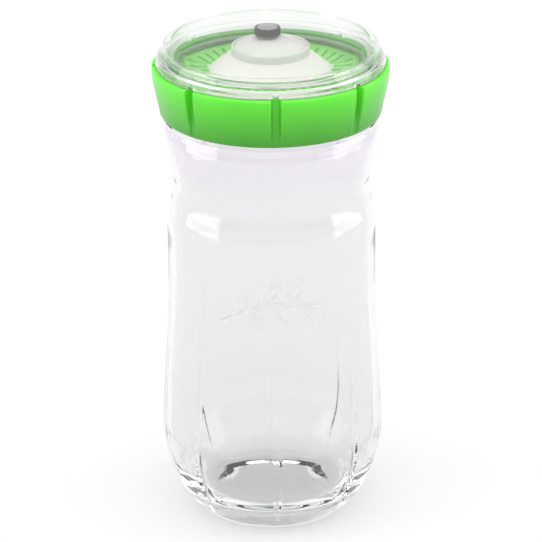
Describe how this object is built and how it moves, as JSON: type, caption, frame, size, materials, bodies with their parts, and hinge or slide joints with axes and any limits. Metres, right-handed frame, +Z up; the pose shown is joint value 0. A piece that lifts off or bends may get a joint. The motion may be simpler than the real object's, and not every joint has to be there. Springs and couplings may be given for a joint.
{
  "type": "fermenting jar",
  "caption": "Tall fluted glass jar with a screw ring, slotted strainer, domed insert with a knob and a clear domed cover.",
  "frame": {"origin": "centre of the ring that the jar stands on", "axes": "+Z up through the cover; -Y is the side the picture looks at; +X is the picture's right"},
  "size_m": [0.1118, 0.1118, 0.247],
  "materials": {
    "glass": "clear, polished",
    "clear_plastic": "clear, polished",
    "green_plastic": "satin moulded",
    "white_plastic": "satin moulded",
    "dark_plastic": "knurled",
    "silicone": "matt translucent",
    "steel": "brushed",
    "brass": "turned"
  },
  "bodies": {
    "jar": {"glass_jar": "glass"},
    "gasket": {"mouth_gasket": "silicone"},
    "lid": {"lid_ring": "green_plastic", "strainer": "green_plastic"},
    "dome": {"dome_seal": "silicone", "dome_base": "white_plastic", "cap_seal": "silicone", "dome_cap": "white_plastic", "clamp_screw": "steel", "screw_seal": "silicone"},
    "washer": {"knob_washer": "steel"},
    "knob": {"thumb_knob": "dark_plastic", "knob_insert": "brass", "knob_plate": "steel"},
    "seal": {"cover_seal": "silicone"},
    "cover": {"clear_cover": "clear_plastic"}
  },
  "joints": [
    {"name": "lid_rise", "type": "slide", "parent": "jar", "child": "gasket", "axis": [0, 0, 1], "range_m": [0, 0.005]},
    {"name": "lid_turn", "type": "hinge", "parent": "gasket", "child": "lid", "pos_m": [0, 0, 0.215], "axis": [0, 0, 1], "range_deg": [0, 300.1]},
    {"name": "dome_lift", "type": "slide", "parent": "lid", "child": "dome", "axis": [0, 0, 1], "range_m": [0, 0.05]},
    {"name": "knob_rise", "type": "slide", "parent": "dome", "child": "washer", "axis": [0, 0, 1], "range_m": [0, 0.0007]},
    {"name": "knob_turn", "type": "hinge", "parent": "washer", "child": "knob", "pos_m": [-0.00135, 0, 0.2415], "axis": [0, 0, 1], "range_deg": [0, 360.1]},
    {"name": "cover_lift", "type": "slide", "parent": "dome", "child": "seal", "axis": [0, 0, 1], "range_m": [0, 0.06]},
    {"name": "cover_turn", "type": "hinge", "parent": "seal", "child": "cover", "pos_m": [0, 0, 0.23], "axis": [0, 0, 1], "range_deg": [0, 45]}
  ],
  "couplings": [
    {"joint": "lid_turn", "follows": "lid_rise", "rad_per_m": 1047.2},
    {"joint": "knob_turn", "follows": "knob_rise", "rad_per_m": 8976}
  ]
}
